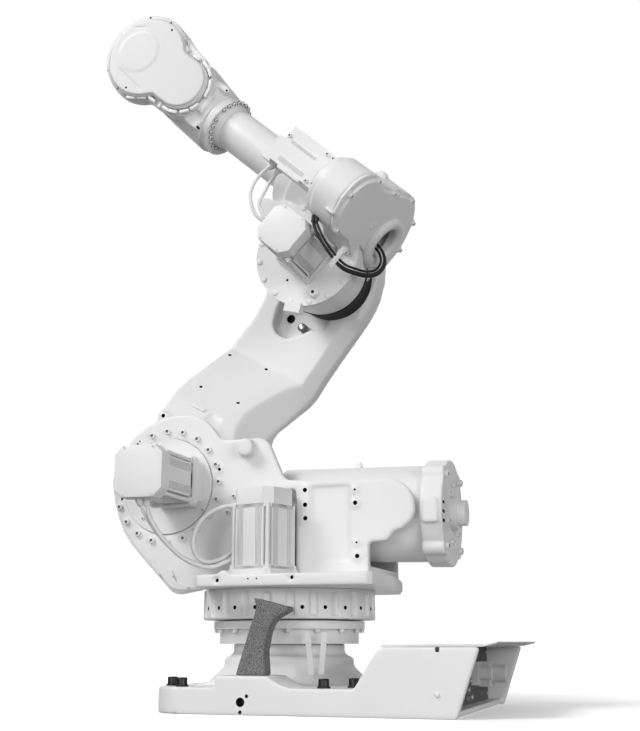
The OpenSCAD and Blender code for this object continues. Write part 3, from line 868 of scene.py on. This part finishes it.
bm = bmesh.new()
for route in (white_a, white_b, white_e):
    gland(bm, P(*route[0]), P(*route[1]), 0.014)
    gland(bm, P(*route[-1]), P(*route[-2]), 0.014)
from_bm("shoulder_glands", bm, [CABW], "frame", slot="white_cable")
bm = bmesh.new()
for route in (white_c, white_d):
    gland(bm, fore(*route[0]), fore(*route[1]), 0.013)
    gland(bm, fore(*route[-1]), fore(*route[-2]), 0.013)
from_bm("motor_glands", bm, [CABW], "upper", slot="white_cable")
bm = bmesh.new()
for route in (black_a, black_b, black_c):
    gland(bm, fore(*route[1]), fore(*route[2]), 0.0085)
from_bm("rear_glands", bm, [RUB], "upper", slot="black_rubber")

# blank tag round the black cables
bm = bmesh.new()
c = (fore(*black_a[8]) + fore(*black_b[8])) / 2
t = fore(*black_a[9]) - fore(*black_a[7])
view = (cam.matrix_world.translation - c).normalized()
acr = t.cross(view).normalized()
m = basis(c + view * 0.012, (acr + t.normalized() * 0.25), view)
rbox(bm, m, (0.072, 0.02, 0.003), 0.001)
rbox(bm, m @ Matrix.Translation((0, 0, -0.022)), (0.05, 0.02, 0.002), 0.0005)
for e in (-1, 1):
    rbox(bm, m @ Matrix.Translation((e * 0.0245, 0, -0.011)), (0.002, 0.02, 0.022), 0.0005)
from_bm("cable_tag", bm, [TAG], "upper", slot="white_cable")

# ---------------------------------------------------------------- bolts
bm = bmesh.new()
for x, y in [(230, 425), (230, -425), (-270, 425), (-270, -425), (300, 350), (300, -350), (-350, 350), (-350, -350)]:
    screw(bm, basis(P(x, y, 84.5), (1, 0, 0), (0, 0, 1)), 0.018, 0.024, washer=(0.022, 0.006))
from_bm("floor_bolts", bm, [BLACKS, HOLE], "base", slot="bright_steel")

bm = bmesh.new()
cyl(bm, on_y(-652, 474, 72), 0.008, 0, 0.006, seg=24, cham=0.002)
rbox(bm, basis(P(-655, 466, 206), (1, 0, 0), (0, 0, 1)), (0.014, 0.02, 0.016), 0.003, mat=1)
from_bm("housing_plugs", bm, [WHITE, RUB], "base", slot="white_paint")

bm = bmesh.new()
for m in ring_of(SH + 216.5 * mm * Y, (1, 0, 0), Y, 0.208, 20, start=2):
    screw(bm, m, 0.0116, 0.011)
for x, z in [(165, 688), (141, 746)]:
    screw(bm, on_y(x, 216.5, z), 0.009, 0.009)
for x, z in [(262, 700), (506, 678), (520, 900)]:
    screw(bm, on_y(x, 221.5, z), 0.007, 0.006, seg=18)
for m in ring_of(SH - 228.5 * mm * Y, (1, 0, 0), -Y, 0.098, 12, start=0):
    screw(bm, m, 0.0095, 0.010)
for m in ring_of(SH - 216.5 * mm * Y, (1, 0, 0), -Y, 0.160, 16, start=0):
    screw(bm, m, 0.0105, 0.011)
for x, z in [(425, 468), (372, 462), (310, 420)]:
    screw(bm, on_y(x, 222.5, z), 0.005, 0.004, seg=16)
from_bm("cheek_bolts", bm, [WHITE, SOCK], "frame", slot="white_paint")

bm = bmesh.new()
for m in ring_of(P(0, 0, 274), (1, 0, 0), (0, 0, -1), 0.266, 16, start=4):
    screw(bm, m, 0.0095, 0.012)
from_bm("ring_bolts", bm, [WHITE, SOCK], "base", slot="white_paint")

bm = bmesh.new()
for m in ring_of(EL + 139.5 * mm * Y, (1, 0, 0), Y, 0.194, 16, start=3.25):
    cyl(bm, m, 0.011, -0.001, 0.005, seg=24, cham=0.0028)
rbox(bm, basis(fore(-126, 450, -77), A, Y), (0.038, 0.010, 0.044), 0.003)
a = math.radians(101)
m = on_y(0, 0, 0)
m.translation = EL + Vector((0.165 * math.cos(a), 0.1395, -0.165 * math.sin(a)))
cyl(bm, m, 0.020, 0, 0.022, seg=40, cham=0.004)
# thin near-black disc in the shadow_hole material: painted shade of a hole on the boss
cyl(bm, m @ Matrix.Translation((0, 0, 0.022)), 0.0065, -0.001, 0.0006, seg=20, mat=2)
a = math.radians(51)
m = on_y(0, 0, 0)
m.translation = EL + Vector((0.125 * math.cos(a), 0.140, -0.125 * math.sin(a)))
# thin near-black disc in the shadow_hole material: painted shade of a hole
cyl(bm, m, 0.005, -0.001, 0.0006, seg=20, mat=2)
for y, n in COVER_BOLTS:
    screw(bm, on_rear(-146.5, y, n), 0.0085, 0.008)
for k in range(4):
    a = math.radians(45 + 90 * k)
    screw(bm, on_rear(-151.5, 101 * math.cos(a), 101 * math.sin(a)), 0.0055, 0.008, seg=18)
from_bm("elbow_bolts", bm, [WHITE, SOCK, HOLE], "upper", slot="white_paint")

# steel stub in the pocket under the elbow
bm = bmesh.new()
cyl(bm, basis(low(39, -279, 803), W, Y), 0.018, 0, 0.05, seg=32, cham=0.003, mat=1)
cyl(bm, basis(low(39, -279, 803), W, Y), 0.022, 0, 0.012, seg=6)
cyl(bm, basis(low(39, -279, 803), W, Y), 0.011, 0.049, 0.054, seg=24, cham=0.002)
from_bm("pocket_stub", bm, [STEEL, RAW], "lower", slot="bright_steel")

# near-black ring in the gap between the elbow drum and the lower arm: painted shade standing for the shadowed gap
bm = bmesh.new()
m = basis(EL, A, Y)
cyl(bm, m, 0.169, -0.152, -0.088, seg=96, r2=0.1805)
cyl(bm, m, 0.165, -0.213, -0.150, seg=96)
from_bm("elbow_gap_shade", bm, [HOLE], "upper", slot="black_rubber")

# blank plate low on the arm
bm = bmesh.new()
rbox(bm, basis(low(127, 64, 309) + SLOPE * 0.0005, W, SLOPE), (0.062, 0.022, 0.003), 0.0008)
from_bm("arm_plate", bm, [TAG], "lower", slot="white_cable")

# ---------------------------------------------------------------- wrist fittings
bm = bmesh.new()
for ang in (-96, -112, -137, -159, 165, 148, 122, 104):
    a = math.radians(ang)
    rad = math.cos(a) * A + math.sin(a) * NN
    tan = -math.sin(a) * A + math.cos(a) * NN
    o = fore(955, 147, 3) + 0.126 * rad
    rbox(bm, basis(o, tan, Y), (0.042, 0.015, 0.02), 0.003)
for s, n, tilt in [(1121, -176, 30), (1078, -149, 32), (1030, -127, 0), (986, 128, 0), (1062, 134, -14), (1108, 166, -28)]:
    a = math.radians(-tilt)
    d = math.cos(a) * A + math.sin(a) * NN
    rbox(bm, basis(fore(s, 147, n), d, Y), (0.042, 0.015, 0.02), 0.003)
for s, n in [(1085, -128), (985, -118)]:
    cyl(bm, basis(fore(s, 140, n - 18), A, NN), 0.009, 0, 0.026, seg=20, cham=0.003)
from_bm("wrist_tabs", bm, [WHITE], "forearm", slot="white_paint")
bm = bmesh.new()
face = basis(fore(746.3, 0, 0), Y, -A)
for sg in (1, -1):
    for k in range(11):
        a = math.radians(sg * (14 + 14.6 * k))
        m = face @ Matrix.Translation((0.1105 * math.cos(a), 0.1105 * math.sin(a), 0))
        # a thin near-black ring under each screw head: painted shade round the head
        cyl(bm, m, 0.0094, 0, 0.0012, seg=18, mat=1)
        screw(bm, m, 0.0074, 0.009, seg=18, dark=1)
from_bm("flange_bolts", bm, [WHITE, HOLE], "forearm", slot="white_paint")

# ---------------------------------------------------------------- cylinder fittings
PV = P(-440, 0, 684)
TB = math.atan2(698 - 684, 295 + 440)
BX = Vector((math.cos(TB), 0, math.sin(TB)))
BZ = Vector((-math.sin(TB), 0, math.cos(TB)))
bm = bmesh.new()
m = basis(PV + 0.168 * BX + 0.173 * BZ, BX, BZ)
cyl(bm, m, 0.014, 0, 0.010, seg=6)
cyl(bm, m, 0.008, 0.010, 0.022, seg=20, cham=0.002)
for mt in ring_of(PV - 0.184 * BX, Y, -BX, 0.105, 6, start=20):
    screw(bm, mt, 0.010, 0.010)
for mt in ring_of(PV - 0.184 * BX, Y, -BX, 0.178, 4, start=45):
    screw(bm, mt, 0.013, 0.012)
# three flat near-black bars in the shadow_hole material: painted shade
for k in (-1, 0, 1):
    rbox(bm, basis(PV - 0.182 * BX + Vector((0, 0.163, 0.032 * k - 0.01)), Y, -BX), (0.036, 0.012, 0.005), 0.0012, mat=1)
from_bm("cylinder_fittings", bm, [WHITE, HOLE], "balancer", slot="white_paint")

bm = bmesh.new()
cyl(bm, basis(P(-440, 150, 684), (1, 0, 0), Y), 0.0445, 0, 0.056, seg=64)
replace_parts(from_bm("pin_near", bm, [STEEL], "balancer", slot="bright_steel"), "trunnion_near")
bm = bmesh.new()
cyl(bm, basis(P(-440, -150, 684), (1, 0, 0), -Y), 0.0445, 0, 0.056, seg=64)
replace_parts(from_bm("pin_far", bm, [STEEL], "balancer", slot="bright_steel"), "trunnion_far")

# ---------------------------------------------------------------- rear bay
bm = bmesh.new()
for i in range(5):
    m = basis(P(-651, -200 + 0, 45 + 27 * i) + Vector((0, 0.21 + 0.05 * (i % 2), 0)), Y, (-1, 0, 0))
    cyl(bm, m, 0.013, 0, 0.010, seg=6)
    cyl(bm, m, 0.009, 0.010, 0.026, seg=24, cham=0.002)
for y in (-420, 180, 420):
    for z in (40, 195):
        screw(bm, basis(P(-651.5, y, z), Y, (-1, 0, 0)), 0.006, 0.006, seg=16)
from_bm("bay_fittings", bm, [STEEL, HOLE], "base", slot="bright_steel")

# ---------------------------------------------------------------- floor and light
me = bpy.data.meshes.new("floor")
bm = bmesh.new()
bmesh.ops.create_grid(bm, x_segments=2, y_segments=2, size=40)
bm.to_mesh(me)
bm.free()
floor = bpy.data.objects.new("floor", me)
COL.objects.link(floor)
floor.location = (0, 0, -0.0005)
FLOOR = plain("floor_white", (0.97, 0.97, 0.97), 0.9, var=0.99, scale=1.5, bump=0.02)
me.materials.append(FLOOR)
# painted light: the floor glows more and more away from the machine, like a lit studio sweep
ft = FLOOR.node_tree
fc = ft.nodes.new("ShaderNodeTexCoord")
fl = ft.nodes.new("ShaderNodeVectorMath")
fl.operation = "LENGTH"
ft.links.new(fc.outputs["Object"], fl.inputs[0])
fr = ft.nodes.new("ShaderNodeMapRange")
fr.interpolation_type = "SMOOTHSTEP"
fr.inputs["From Min"].default_value = 0.9
fr.inputs["From Max"].default_value = 3.0
fr.inputs["To Min"].default_value = 0.30
fr.inputs["To Max"].default_value = 1.0
ft.links.new(fl.outputs["Value"], fr.inputs["Value"])
ft.links.new(fr.outputs["Result"], ft.nodes["Principled BSDF"].inputs["Emission Strength"])
ft.nodes["Principled BSDF"].inputs["Emission Color"].default_value = (1, 1, 1, 1)
floor.visible_diffuse = False
floor.visible_glossy = False

world = bpy.data.worlds.new("world")
scene.world = world
world.use_nodes = True
wt = world.node_tree
bg = wt.nodes["Background"]
# a lit white backdrop on the far side of the room, soft grey walls elsewhere
wc = wt.nodes.new("ShaderNodeTexCoord")
wd = wt.nodes.new("ShaderNodeVectorMath")
wd.operation = "DOT_PRODUCT"
wd.inputs[1].default_value = fwd
wt.links.new(wc.outputs["Generated"], wd.inputs[0])
wr = wt.nodes.new("ShaderNodeMapRange")
wr.interpolation_type = "SMOOTHSTEP"
wr.inputs["From Min"].default_value = 0.72
wr.inputs["From Max"].default_value = 0.90
wr.inputs["To Min"].default_value = 0.20
wr.inputs["To Max"].default_value = 1.02
wt.links.new(wd.outputs["Value"], wr.inputs["Value"])
# seen directly, the room is white on every side
wp = wt.nodes.new("ShaderNodeLightPath")
wm = wt.nodes.new("ShaderNodeMath")
wm.operation = "MAXIMUM"
wt.links.new(wr.outputs["Result"], wm.inputs[0])
wt.links.new(wp.outputs["Is Camera Ray"], wm.inputs[1])
wt.links.new(wm.outputs["Value"], bg.inputs["Strength"])
bg.inputs["Color"].default_value = (1, 1, 1, 1)


def area(name, loc, aim, size, power, col=(1, 1, 1)):
    d = bpy.data.lights.new(name, "AREA")
    d.size = size
    d.energy = power
    d.color = col
    ob = bpy.data.objects.new(name, d)
    COL.objects.link(ob)
    ob.location = loc
    ob.rotation_euler = (Vector(aim) - Vector(loc)).to_track_quat("-Z", "Y").to_euler()
    return ob


area("key", (12, 13, 17), (0, 0, 1.3), 8.0, 3300)
area("front", (2, 15, 2.4), (0, 0, 1.2), 7, 700)
area("fill", (-13, 10, 4.5), (0, 0, 1.2), 6, 500)
area("low", (-7, 6, 0.3), (-0.3, 0, 1.9), 4, 230)
scene.view_settings.view_transform = "Standard"
scene.view_settings.look = "None"
